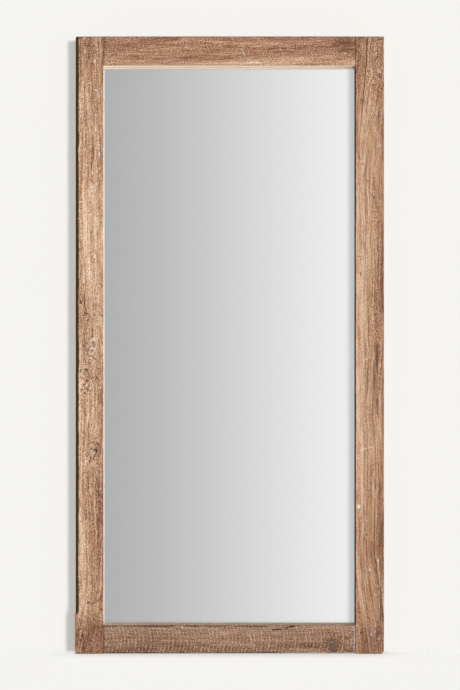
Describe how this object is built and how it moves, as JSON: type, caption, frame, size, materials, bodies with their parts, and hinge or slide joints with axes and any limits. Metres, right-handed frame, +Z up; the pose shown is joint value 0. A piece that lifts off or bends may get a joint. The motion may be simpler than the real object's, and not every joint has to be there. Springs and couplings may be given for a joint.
{
  "type": "framed floor mirror",
  "caption": "Full-length rectangular mirror in a weathered reclaimed-wood frame that stands on the floor or hangs on a wall, with backing board, turn buttons, D-ring hangers and wall bumpers.",
  "frame": {"origin": "on the floor under the middle of the overall box; z = 0 is the feet", "axes": "+Z up; the mirror faces -Y; +X is to the right as seen from the front; the wall side is +Y"},
  "size_m": [0.9, 0.05, 1.8],
  "materials": {
    "reclaimed_wood": "matte",
    "reclaimed_wood_dark": "matte",
    "dowel_wood": "matte",
    "silvered_glass": "polished",
    "black_rubber": "matte",
    "card": "matte",
    "backing_board": "satin",
    "zinc_steel": "satin",
    "plated_screws": "satin"
  },
  "bodies": {
    "frame": {"left_stile": "reclaimed_wood", "right_stile": "reclaimed_wood", "top_rail": "reclaimed_wood", "bottom_rail": "reclaimed_wood_dark", "corner_dowels": "dowel_wood", "mirror_glass": "silvered_glass", "setting_block_left": "black_rubber", "setting_block_right": "black_rubber", "cushion_sheet": "card", "backing_board": "backing_board", "turn_button_screws": "plated_screws", "corner_plate_screws": "plated_screws", "hanger_screws": "plated_screws", "wall_bumper_screws": "plated_screws", "hanger_strap_left": "zinc_steel", "hanger_strap_right": "zinc_steel", "corner_plate_top_left": "zinc_steel", "wall_bumper_top_left": "black_rubber", "corner_plate_top_right": "zinc_steel", "wall_bumper_top_right": "black_rubber", "corner_plate_bottom_left": "zinc_steel", "wall_bumper_bottom_left": "black_rubber", "corner_plate_bottom_right": "zinc_steel", "wall_bumper_bottom_right": "black_rubber"},
    "hanger_ring_left": {"hanger_ring_left": "zinc_steel"},
    "hanger_ring_right": {"hanger_ring_right": "zinc_steel"},
    "turn_button_bottom_1": {"turn_button_bottom_1": "zinc_steel"},
    "turn_button_bottom_2": {"turn_button_bottom_2": "zinc_steel"},
    "turn_button_left_1": {"turn_button_left_1": "zinc_steel"},
    "turn_button_left_2": {"turn_button_left_2": "zinc_steel"},
    "turn_button_left_3": {"turn_button_left_3": "zinc_steel"},
    "turn_button_left_4": {"turn_button_left_4": "zinc_steel"},
    "turn_button_right_1": {"turn_button_right_1": "zinc_steel"},
    "turn_button_right_2": {"turn_button_right_2": "zinc_steel"},
    "turn_button_right_3": {"turn_button_right_3": "zinc_steel"},
    "turn_button_right_4": {"turn_button_right_4": "zinc_steel"},
    "turn_button_top_1": {"turn_button_top_1": "zinc_steel"},
    "turn_button_top_2": {"turn_button_top_2": "zinc_steel"}
  },
  "joints": [
    {"name": "turn_button_left_1_turn", "type": "hinge", "parent": "frame", "child": "turn_button_left_1", "pos_m": [-0.389, 0.015, 0.28875], "axis": [0, 1, 0], "continuous": true},
    {"name": "turn_button_right_1_turn", "type": "hinge", "parent": "frame", "child": "turn_button_right_1", "pos_m": [0.389, 0.015, 0.28875], "axis": [0, 1, 0], "continuous": true},
    {"name": "turn_button_left_2_turn", "type": "hinge", "parent": "frame", "child": "turn_button_left_2", "pos_m": [-0.389, 0.015, 0.69625], "axis": [0, 1, 0], "continuous": true},
    {"name": "turn_button_right_2_turn", "type": "hinge", "parent": "frame", "child": "turn_button_right_2", "pos_m": [0.389, 0.015, 0.69625], "axis": [0, 1, 0], "continuous": true},
    {"name": "turn_button_left_3_turn", "type": "hinge", "parent": "frame", "child": "turn_button_left_3", "pos_m": [-0.389, 0.015, 1.10375], "axis": [0, 1, 0], "continuous": true},
    {"name": "turn_button_right_3_turn", "type": "hinge", "parent": "frame", "child": "turn_button_right_3", "pos_m": [0.389, 0.015, 1.10375], "axis": [0, 1, 0], "continuous": true},
    {"name": "turn_button_left_4_turn", "type": "hinge", "parent": "frame", "child": "turn_button_left_4", "pos_m": [-0.389, 0.015, 1.51125], "axis": [0, 1, 0], "continuous": true},
    {"name": "turn_button_right_4_turn", "type": "hinge", "parent": "frame", "child": "turn_button_right_4", "pos_m": [0.389, 0.015, 1.51125], "axis": [0, 1, 0], "continuous": true},
    {"name": "turn_button_top_1_turn", "type": "hinge", "parent": "frame", "child": "turn_button_top_1", "pos_m": [-0.184, 0.015, 1.736], "axis": [0, 1, 0], "continuous": true},
    {"name": "turn_button_bottom_1_turn", "type": "hinge", "parent": "frame", "child": "turn_button_bottom_1", "pos_m": [-0.184, 0.015, 0.064], "axis": [0, 1, 0], "continuous": true},
    {"name": "turn_button_top_2_turn", "type": "hinge", "parent": "frame", "child": "turn_button_top_2", "pos_m": [0.184, 0.015, 1.736], "axis": [0, 1, 0], "continuous": true},
    {"name": "turn_button_bottom_2_turn", "type": "hinge", "parent": "frame", "child": "turn_button_bottom_2", "pos_m": [0.184, 0.015, 0.064], "axis": [0, 1, 0], "continuous": true},
    {"name": "hanger_ring_left_swing", "type": "hinge", "parent": "frame", "child": "hanger_ring_left", "pos_m": [-0.409, 0.0195, 1.37], "axis": [1, 0, 0], "range_deg": [0, 180]},
    {"name": "hanger_ring_right_swing", "type": "hinge", "parent": "frame", "child": "hanger_ring_right", "pos_m": [0.409, 0.0195, 1.37], "axis": [1, 0, 0], "range_deg": [0, 180]}
  ]
}
